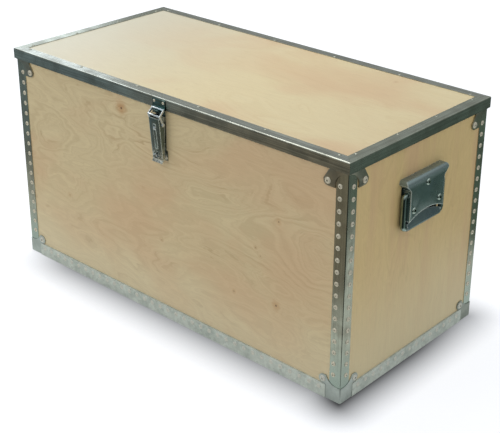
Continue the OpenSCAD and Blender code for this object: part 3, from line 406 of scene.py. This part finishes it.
# Corner angles: 1.2 mm mild steel, folded and zinc plated, riveted up all four corners.
# Rolled sheet keeps fine lines along its length, and the plating has dulled unevenly.
def zinc_sheet(name, base, worn, rough, rolled, line_mm=1.2, metal=1.0, streak=0.0, spangle=0.0,
               painted_light_band=None, scuffs=None, edge_mm=0.0):
    """Zinc-plated sheet whose rolling lines run along the axis called rolled. streak and spangle
    are how much its lines and its crystals vary. turning is painted light: two heights in mm and
    the colour painted from the second on, for a reflection or a highlight. scuffs lie between two
    heights in mm, and edges are painted bright over edge_mm, as wear and as a painted highlight."""
    line_long_mm, cloud_mm, chip_mm, crystal_mm = 160, 34, 3.5, 6.0
    material, tree = blank(name)
    place = add(tree, "TexCoord").outputs["Object"]
    squeeze = [1000 / line_mm] * 3
    squeeze[rolled] = 1000 / line_long_mm
    lines = add(tree, "Mapping", {0: place, "Scale": squeeze})
    lines = add(tree, "TexNoise", {0: lines, "Scale": 1.0, "Detail": 2.0})
    cloud = {0: place, "Scale": 1000 / cloud_mm, "Detail": 4.0, "Roughness": 0.6}
    cloud = add(tree, "TexNoise", cloud)
    dulled = add(tree, "MapRange", {0: cloud, 1: 0.35, 2: 0.7}, **smooth)
    base = add(tree, "Mix", {0: dulled, 6: colour(base), 7: colour(worn)}, data_type="RGBA")
    if streak:
        bands = {0: lines, 1: 0.35, 2: 0.65, 3: 1 - streak, 4: 1 + streak * 0.5}
        bands = add(tree, "MapRange", bands)
        base = add(tree, "VectorMath", {0: base, "Scale": bands}, operation="SCALE")
    # Painted light: from one height on the plating takes a paler colour, for a reflection or a
    # highlight
    if painted_light_band:
        start, end, tone = painted_light_band
        turned = add(tree, "SeparateXYZ", {0: place}).outputs[Z]
        turned = add(tree, "MapRange", {0: turned, 1: start / 1000, 2: end / 1000}, **smooth)
        base = add(tree, "Mix", {0: turned, 6: base, 7: colour(tone)}, data_type="RGBA")
    # Edges painted bright: wear from rubbing, and a painted highlight along them
    if edge_mm:
        rounded = add(tree, "Bevel", {"Radius": edge_mm / 1000}, samples=4)
        plain = add(tree, "NewGeometry").outputs["Normal"]
        wear_and_highlight = add(tree, "VectorMath", {0: rounded, 1: plain}, operation="DOT_PRODUCT")
        wear_and_highlight = add(tree, "MapRange", {0: wear_and_highlight, 1: 0.93, 2: 0.998, 3: 1.0, 4: 0.0})
        base = add(tree, "Mix", {0: wear_and_highlight, 6: base, 7: colour("DCE6E2")}, data_type="RGBA")
        # Where the edges are painted bright the metal is less metallic, so that this painted
        # highlight stays bright where it mirrors something dark
        metal = add(tree, "MapRange", {0: wear_and_highlight, 3: metal, 4: 0.35})
    if scuffs:
        low = add(tree, "SeparateXYZ", {0: place}).outputs[Z]
        low = {0: low, 1: scuffs[0] / 1000, 2: scuffs[1] / 1000, 3: 1.0, 4: 0.0}
        low = add(tree, "MapRange", low)
        chips = {0: place, "Scale": 1000 / chip_mm, "Detail": 3.0, "Roughness": 0.7}
        chips = add(tree, "TexNoise", chips)
        chips = add(tree, "MapRange", {0: chips, 1: 0.46, 2: 0.54})
        chips = add(tree, "Math", {0: chips, 1: low}, operation="MULTIPLY")
        base = add(tree, "Mix", {0: chips, 6: base, 7: colour("E6EAE4")}, data_type="RGBA")
    if spangle:
        flake = {0: place, "Scale": 1000 / crystal_mm, "Randomness": 1.0}
        flake = add(tree, "TexVoronoi", flake).outputs["Color"]
        flake = add(tree, "SeparateXYZ", {0: flake})
        flake = add(tree, "MapRange", {0: flake, 3: 1 - spangle, 4: 1 + spangle * 0.4})
        base = add(tree, "VectorMath", {0: base, "Scale": flake}, operation="SCALE")
    gloss = add(tree, "MapRange", {0: cloud, 1: 0.3, 2: 0.75, 3: rough - 0.06, 4: rough + 0.1})
    bump = add(tree, "Bump", {"Strength": 0.1, "Distance": 0.0002, "Height": lines})
    shader = add(tree, "BsdfPrincipled", {"Base Color": base, "Metallic": metal,
                                          "Roughness": gloss, "Normal": bump})
    add(tree, "OutputMaterial", {0: shader})
    return material


corners = ("front_left", "front_right", "back_left", "back_right")
# A warm grey mirror with soft upright streaks, painted paler and bluer near the foot as a
# reflection of the pale bench
upright_zinc = zinc_sheet("zinc_plated_sheet_upright", "B9BCAE", "A3A294", rough=0.22, rolled=Z,
                          line_mm=3.0, streak=0.16, painted_light_band=(150, 15, "AAB8B0"))
for corner in corners:
    finish_node("corner_angle_" + corner, upright_zinc)


# Lid edging: the same plated sheet, folded to an angle round the lid board and mitred.
# Its long sides are made the brightest and the most streaked.
# Long streaks of bright and dark metal run with each side, softer on the ends: rolling lines, and a
# painted reflection
edging_long = zinc_sheet("zinc_plated_edging_long", "B9BDB5", "9DA199", rough=0.24, rolled=X,
                         line_mm=2.4, streak=0.34)
edging_end = zinc_sheet("zinc_plated_edging_end", "AAB0A4", "92968A", rough=0.26, rolled=Y,
                        line_mm=2.4, streak=0.2)
for side in ("front", "back"):
    finish_node("lid_edging_" + side, edging_long)
for side in ("left", "right"):
    finish_node("lid_edging_" + side, edging_end)


# Corner braces: small plated pressings that tie the angles together just under the lid.
# Each has a round ear on both faces, which slopes down from the corner, and one large rivet in it.
def piece_from(bm, name, metals, body, stands_for=None, sharp_deg=None):
    """Turns a bmesh into a piece of the chest that rides on its body. With an angle given it is
    shaded smooth, except over edges sharper than that."""
    mesh = bpy.data.meshes.new(name)
    bm.to_mesh(mesh)
    bm.free()
    if sharp_deg:
        mesh.polygons.foreach_set("use_smooth", [True] * len(mesh.polygons))
        mesh.set_sharp_from_angle(angle=math.radians(sharp_deg))
    for metal in metals:
        mesh.materials.append(metal)
    piece = bpy.data.objects.new(name, mesh)
    bpy.context.scene.collection.objects.link(piece)
    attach(piece, body)
    if stands_for:
        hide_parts(stands_for)


def cut_away(bm, point, outward):
    """Cuts a closed shape on a plane, takes off what lies past it and closes the cut."""
    bmesh.ops.bisect_plane(bm, geom=bm.verts[:] + bm.edges[:] + bm.faces[:], dist=0.000001,
                           plane_co=point, plane_no=outward, clear_outer=True)
    bmesh.ops.holes_fill(bm, edges=[e for e in bm.edges if e.is_boundary], sides=0)


def softened(name, material, radius_mm, trims=()):
    """A copy of a CAD node with its sharp edges rounded, as the press leaves them, which stands
    for the node. Each trim is a point and an outward direction: what lies past it is cut away."""
    source = nodes[name]
    bm = bmesh.new()
    bm.from_mesh(source.data)
    bmesh.ops.remove_doubles(bm, verts=bm.verts, dist=0.00001)
    bmesh.ops.dissolve_limit(bm, angle_limit=math.radians(0.6), verts=bm.verts, edges=bm.edges)
    for point, outward in trims:
        cut_away(bm, point, outward)
    folds = [e for e in bm.edges if len(e.link_faces) == 2
             and e.calc_face_angle(0) > math.radians(28)]
    bmesh.ops.bevel(bm, geom=folds, offset=radius_mm / 1000, segments=2, profile=0.5,
                    affect="EDGES", material=-1, clamp_overlap=True)
    bmesh.ops.triangulate(bm, faces=[f for f in bm.faces if len(f.verts) > 4])
    piece_from(bm, name + "_pressed", [material], body_of(source)[0],
               stands_for=name, sharp_deg=32)


mid_y = 0.00251445  # the middle of the chest; the latch and the hinges move it off the origin
# Where each shoulder's slope passes, and the way it faces: towards the middle and up
shoulder_x, shoulder_y, shoulder_z = 0.395, 0.162, 0.440
slope_in, slope_up = 0.85, 0.526
# A duller plating than the angles have, nearly satin, so that the braces look darker and flatter
brace_zinc = zinc_sheet("zinc_plated_brace", "B6B2A2", "9A978A", rough=0.34, rolled=Z)
for corner in corners:
    way_x = -1 if "left" in corner else 1
    way_y = -1 if "front" in corner else 1
    on_long = ((way_x * shoulder_x, 0, shoulder_z), (-slope_in * way_x, 0, slope_up))
    on_end = ((0, mid_y + way_y * shoulder_y, shoulder_z), (0, -slope_in * way_y, slope_up))
    softened("corner_brace_" + corner, brace_zinc, radius_mm=0.35, trims=(on_long, on_end))


# Bottom angles: 3 mm steel, hot dip galvanised, round the foot of all four sides.
# The zinc has frozen in small crystals, so it is pale, dull and mottled, and hardly mirrors.
for run, sides, rolled in (("long", ("front", "back"), X), ("end", ("left", "right"), Y)):
    galvanised = zinc_sheet("galvanised_angle_" + run, "D3DAD4", "BDC6C0", rough=0.45,
                            rolled=rolled, line_mm=2.0, metal=0.3, spangle=0.14)
    for side in sides:
        finish_node("bottom_angle_" + side, galvanised)


# Bottom corner caps: deep drawn steel shoes over the ends of the bottom angles, zinc plated.
# The drawing leaves them satin, and the back ones, away from the light, are painted darker as
# shade.
cap_zinc = zinc_sheet("zinc_plated_cap", "BEC5C2", "A8B0AC", rough=0.36, rolled=Z, line_mm=1.6,
                      metal=0.8)
# The back caps: the same plating painted darker, as shade
shaded_back_cap_zinc = zinc_sheet("zinc_plated_cap_shaded", "9EA39C", "8A908A", rough=0.4, rolled=Z,
                           line_mm=1.6, metal=0.8)
for corner in corners:
    zinc = shaded_back_cap_zinc if "back" in corner else cap_zinc
    softened("corner_cap_" + corner, zinc, radius_mm=0.35)


# Blind rivets: aluminium, set through the steel into the plywood. The head is a low dome round
# the steel stub of the mandrel, and the tail is upset inside the chest. The common ones hold
# the angles, the wide ones the braces and the caps, and the small ones what is on the lid.
def satin_metal(name, base, worn, rough, metal, grain_mm):
    """Plain satin metal with a fine, even grain."""
    material, tree = blank(name)
    place = add(tree, "TexCoord").outputs["Object"]
    grain = {0: place, "Scale": 1000 / grain_mm, "Detail": 3.0, "Roughness": 0.6}
    grain = add(tree, "TexNoise", grain)
    dulled = add(tree, "MapRange", {0: grain, 1: 0.35, 2: 0.7})
    base = add(tree, "Mix", {0: dulled, 6: colour(base), 7: colour(worn)}, data_type="RGBA")
    gloss = add(tree, "MapRange", {0: grain, 3: rough - 0.05, 4: rough + 0.1})
    bump = add(tree, "Bump", {"Strength": 0.08, "Distance": 0.0002, "Height": grain})
    shader = add(tree, "BsdfPrincipled", {"Base Color": base, "Metallic": metal,
                                          "Roughness": gloss, "Normal": bump})
    add(tree, "OutputMaterial", {0: shader})
    return material


FRONT, RIGHT, BACK, LEFT = range(4)


def face_frame(side, off_mm):
    """Frame on a side's outer face: x to the right seen from outside, y up, z out."""
    reach = (half_x if side in (RIGHT, LEFT) else half_y) + off_mm / 1000
    turn = Matrix.Rotation(math.pi / 2 * side, 4, "Z") @ Matrix.Translation((0, -reach, 0))
    return Matrix.Translation((0, mid_y, 0)) @ turn @ Matrix.Rotation(math.pi / 2, 4, "X")


def at(side, off_mm, spots):
    """A frame at each spot on a side, so far off its face; a spot is in mm from the middle of
    the side and from the floor."""
    on_face = face_frame(side, off_mm)
    return [on_face @ Matrix.Translation((u / 1000, z / 1000, 0)) for u, z in spots]


def row(count, pitch):
    """Evenly spaced places round the middle."""
    return [(i - (count - 1) / 2) * pitch for i in range(count)]


def one_rivet(head, high, grip, tail=0.0, shank=4.8, hollow=0.4, mouth=0.15):
    """One rivet in mm, turned about z: a head so wide and so high stands on z = 0, the shank
    goes down through the grip, and the tail is as wide as it says. hollow and mouth are the
    depth and width of the bore in the head, as shares of it."""
    r = head / 2
    bore = r * mouth * 2
    line = [(0, high * (1 - hollow)), (bore * 0.9, high * (1 - hollow)), (bore, high * 0.97),
            (r * 0.5, high), (r * 0.8, high * 0.72), (r * 0.97, high * 0.3), (r, 0),
            (shank / 2, 0), (shank / 2, -grip)]
    if tail:
        line += [(tail / 2, -grip), (tail / 2 * 0.85, -grip - 1.2)]
    line += [(0, line[-1][1])]
    bm = bmesh.new()
    verts = [bm.verts.new((x / 1000, 0, z / 1000)) for x, z in line]
    edges = [bm.edges.new(pair) for pair in zip(verts, verts[1:])]
    bmesh.ops.spin(bm, geom=verts + edges, cent=(0, 0, 0), axis=(0, 0, 1), angle=2 * math.pi,
                   steps=14, use_merge=True)
    bmesh.ops.remove_doubles(bm, verts=bm.verts, dist=0.000001)
    bmesh.ops.recalc_face_normals(bm, faces=bm.faces)
    for face in bm.faces:
        middle = face.calc_center_median()
        in_bore = math.hypot(middle.x, middle.y) < bore * 0.95 / 1000 and middle.z > 0
        face.material_index = int(in_bore)
    mesh = bpy.data.meshes.new("one_rivet")
    bm.to_mesh(mesh)
    bm.free()
    return mesh


def rivets(name, places, mesh, metals):
    """Sets a rivet at each frame and joins them into the piece that stands for the CAD node."""
    bm = bmesh.new()
    for place in places:
        start = len(bm.verts)
        bm.from_mesh(mesh)
        bm.verts.ensure_lookup_table()
        bmesh.ops.transform(bm, matrix=place, verts=bm.verts[start:])
    piece_from(bm, name + "_set", metals, body_of(nodes[name])[0],
               stands_for=name, sharp_deg=50)


# Aluminium rivet alloy, headed and oxidised: a pale, slightly warm grey with little mirror in it
rivet_alloy = satin_metal("aluminium_rivet", "E6E0CE", "CFC8B6",
                          rough=0.42, metal=0.35, grain_mm=3.0)
# The same low down, greyed by wet: nearly the tone of the galvanised angle round it
foot_alloy = satin_metal("aluminium_rivet_dulled", "E2E2DA", "C8C8C0",
                         rough=0.45, metal=0.35, grain_mm=3.0)
# Snapped mandrel steel: a darker point in the middle of each head
stub_steel = satin_metal("mandrel_steel", "B8B4A6", "96948A", rough=0.45, metal=0.6, grain_mm=2.0)
plain_pair = (rivet_alloy, stub_steel)
ends = (RIGHT, LEFT)
# Two columns of seventeen up the angles on each side, with the lowest 57 mm up, and how far
# the columns are from the middle of that side
pitch, lowest = 23.5, 57
common = one_rivet(9.6, 1.8, 10.2, tail=7)
columns = {"front": 430.5, "right": 200.5, "back": 430.5, "left": 200.5}
for side, (word, u) in enumerate(columns.items()):
    spots = [(s * u, lowest + pitch * i) for s in (-1, 1) for i in range(17)]
    rivets("corner_rivets_" + word, at(side, 1.2, spots), common, plain_pair)
# One row along each bottom angle, at the same pitch and 20 mm up
places = []
for side in range(4):
    along = row(15 if side in ends else 35, pitch)
    places += at(side, 3, [(u, 20) for u in along])
rivets("bottom_angle_rivets", places, one_rivet(9.6, 1.2, 12, tail=7), (foot_alloy, foot_alloy))
# One wide rivet in each ear of the caps and the braces: how far off the face, how far in from
# the corner and how far up, in mm
wide = one_rivet(13, 2.2, 11.4, tail=8)
ears = {"corner_cap_rivets": (2.4, 39, 40, (foot_alloy, stub_steel)),
        "corner_brace_rivets": (2.7, 42.5, 437, plain_pair)}
for name, (off_mm, inset, z, metals) in ears.items():
    places = []
    for side in range(4):
        u = 1000 * (half_y if side in ends else half_x) - inset
        places += at(side, off_mm, [(s * u, z) for s in (-1, 1)])
    rivets(name, places, wide, metals)
# Small plated rivets down through the top of the lid edging, duller than the edging itself
lid_metal = satin_metal("zinc_plated_lid_rivet", "AEB0A6", "8E9086",
                        rough=0.4, metal=0.9, grain_mm=3.0)
lid_top, from_face = 0.483, 0.0121
upright = Matrix.Rotation(-math.pi / 2, 4, "X")
places = []
for side in range(4):
    for u in row(4, 120) if side in ends else row(6, 166.8):
        spot = Matrix.Translation((u / 1000, lid_top, -from_face))
        places.append(face_frame(side, 0) @ spot @ upright)
rivets("lid_rivets", places, one_rivet(6.4, 1, 10.2), (lid_metal, lid_metal))


# Strap hinges: two pairs of folded steel leaves on the back, each round a loose pin, zinc plated.
# The lid leaf has a heel that stops the open lid. Six rivets hold each hinge.
hinge_spots = [hinge + u for hinge in (-270, 270) for u in (-25, 0, 25)]
# Clean plated sheet, little used: an even cool grey
hinge_zinc = zinc_sheet("zinc_plated_hinge", "B9BDBB", "9FA4A1", rough=0.33, rolled=X)
for part in ("body_leaf", "lid_leaf", "pin"):
    for side in ("left", "right"):
        softened("hinge_" + part + "_" + side, hinge_zinc, radius_mm=0.25)
small = one_rivet(6, 1.2, 12.6, shank=3.2)
rivets("hinge_body_rivets", at(BACK, 1.6, [(u, 436.38) for u in hinge_spots]),
       one_rivet(9.6, 1.8, 10.6, tail=7), plain_pair)
rivets("hinge_lid_rivets", at(BACK, 6.5, [(u, 477.3) for u in hinge_spots]), small, plain_pair)


# Toggle latch: a keeper with a hook on the lid, and on the front a base that carries the lever,
# whose wire bail catches the hook. All are pressed or bent steel, zinc plated, held by rivets.
latch_x = -0.005
# Bright zinc with a bluish cast, streaked along the lever, with edges painted bright as wear and
# highlight, and a scuffed foot
latch_zinc = zinc_sheet("bright_zinc_latch", "7C8A88", "647470", rough=0.2, rolled=Z, line_mm=1.6,
                        metal=0.85, streak=0.3, scuffs=(368, 386), edge_mm=2.2)
# The flat base has only its fine lines: a clean, cool grey
base_zinc = zinc_sheet("bright_zinc_latch_base", "A8B0B2", "8E979A", rough=0.26, rolled=Z,
                       line_mm=0.8)
# The keeper lies in the shade of the lid, and its zinc is painted deeper and greener for that shade
keeper_shade_zinc = zinc_sheet("bright_zinc_keeper_shaded", "66807E", "546A6C", rough=0.22, rolled=X,
                         line_mm=0.8)
# Drawn wire is the smoothest and brightest piece of the chest
bail_zinc = zinc_sheet("bright_zinc_bail", "E4ECF2", "CCD6DE", rough=0.16, rolled=X, line_mm=0.6,
                       metal=0.8)
softened("latch_keeper", keeper_shade_zinc, radius_mm=0.5)
softened("latch_lever", latch_zinc, radius_mm=0.7)
softened("latch_base", base_zinc, radius_mm=0.35)
softened("latch_pivot_pin", base_zinc, radius_mm=0.3)
softened("latch_bail", bail_zinc, radius_mm=0.5)
softened("latch_bail_pin", bail_zinc, radius_mm=0.3)
rivets("latch_keeper_rivets", at(FRONT, 6.5, [(-17, 475), (7, 475)]), small, plain_pair)
rivets("latch_base_rivets", at(FRONT, 1.6, [(-16, 362), (6, 362), (-5, 400), (-5, 422)]),
       one_rivet(8, 1.4, 10.6, tail=7), plain_pair)


def thin_plate(width, height, thick, place, round_corners=0.0):
    """A flat plate cut from sheet, in metres, on a frame whose z points out."""
    bm = bmesh.new()
    bmesh.ops.create_grid(bm, x_segments=1, y_segments=1, size=0.5)
    bmesh.ops.scale(bm, verts=bm.verts, vec=(width, height, 1))
    if round_corners:
        bmesh.ops.bevel(bm, geom=bm.verts, offset=round_corners, segments=4, profile=0.5,
                        affect="VERTICES", material=-1)
    bmesh.ops.solidify(bm, geom=bm.faces, thickness=-thick)
    bmesh.ops.recalc_face_normals(bm, faces=bm.faces)
    bmesh.ops.transform(bm, verts=bm.verts, matrix=place)
    return bm


# The keeper's skirt, a dark sheet behind the bail that stands for the shade there, and a round dome
# pressed in the face of the lever
skirt_place = face_frame(FRONT, 6.1) @ Matrix.Translation((latch_x, 0.4595, 0))
skirt = thin_plate(width=0.034, height=0.017, thick=0.0012, place=skirt_place)
piece_from(skirt, "latch_keeper_shade_skirt", [keeper_shade_zinc], "lid")
# The dome takes the bail's bright zinc: a painted highlight on the darker lever
dome = bmesh.new()
bmesh.ops.create_uvsphere(dome, u_segments=20, v_segments=12, radius=0.0046)
cut_away(dome, (0, 0, 0), (0, 0, -1))
bmesh.ops.scale(dome, verts=dome.verts, vec=(1, 1, 0.4))
# The lever's face leans back 8 mm in 88, and stands 18.68 mm off the front where the dome is
lean = Matrix.Rotation(-math.atan(8 / 88), 4, "X")
dome_place = face_frame(FRONT, 18.68) @ Matrix.Translation((latch_x, 0.426, 0)) @ lean
bmesh.ops.transform(dome, verts=dome.verts, matrix=dome_place)
piece_from(dome, "latch_lever_boss", [bail_zinc], "latch_lever", sharp_deg=50)


# Drop handles: a pressed housing on each end, three rivets through it, and a rod bent to two
# arms that carries a grip of folded sheet. The steel is dark passivated zinc, and a thin dark
# plate between the housing and the board stands for the shade there.
handle_spots = [(0, 381.5), (-40.5, 337.5), (40.5, 337.5)]
# Passivated zinc is a deep green grey; a painted highlight pales the hood's crown,
# and its edges are painted bright, as wear and as a highlight
handle_zinc = zinc_sheet("dark_zinc_handle", "5A7270", "4C625E", rough=0.24, rolled=Y,
                         line_mm=0.9, metal=0.55, painted_light_band=(382, 391, "849698"), edge_mm=3.0)
# The rod turns in the hand and in its bores, which has polished it
rod_zinc = zinc_sheet("dark_zinc_rod", "A2B2AE", "84948F", rough=0.14, rolled=Z, line_mm=0.9)
# The grip is a little bluer than the housing, with rims painted bright as wear and highlight
grip_zinc = zinc_sheet("dark_zinc_grip", "6A8080", "5A6E74", rough=0.24, rolled=Y, line_mm=0.9,
                       metal=0.55, edge_mm=2.0)
# The plate behind is painted shade: a dark, even grey with no wear
shade_plate_zinc = satin_metal("dark_zinc_back_plate", "424E4A", "36423E",
                         rough=0.4, metal=0.6, grain_mm=2.0)
# Bright plated tubular rivets, and their open bores painted dark, as shade
handle_alloy = satin_metal("zinc_plated_rivet", "C6D4CC", "A4B4AC",
                           rough=0.16, metal=1.0, grain_mm=3.0)
bore_shade = satin_metal("rivet_bore_shaded", "3A423E", "2A302D", rough=0.5, metal=1.0, grain_mm=2.0)
tubular = one_rivet(13, 2.4, 28, tail=8, hollow=0.9, mouth=0.2)
for side, word in ((RIGHT, "right"), (LEFT, "left")):
    softened("handle_housing_" + word, handle_zinc, radius_mm=0.9)
    softened("handle_grip_" + word, grip_zinc, radius_mm=0.8)
    finish_node("handle_rod_" + word, rod_zinc)
    rivets("handle_rivets_" + word, at(side, 19, handle_spots), tubular, (handle_alloy, bore_shade))
    plate_place = face_frame(side, 0.9) @ Matrix.Translation((0, 0.345, 0))
    plate = thin_plate(width=0.117, height=0.086, thick=0.0008, place=plate_place,
                       round_corners=0.008)
    piece_from(plate, "handle_back_plate_" + word, [shade_plate_zinc], "box")


# Size: a box, such as the CAD model's or the finished model's, as plain lists of its corners in
# metres.
def plain(box):
    return [list(map(float, corner)) for corner in box]
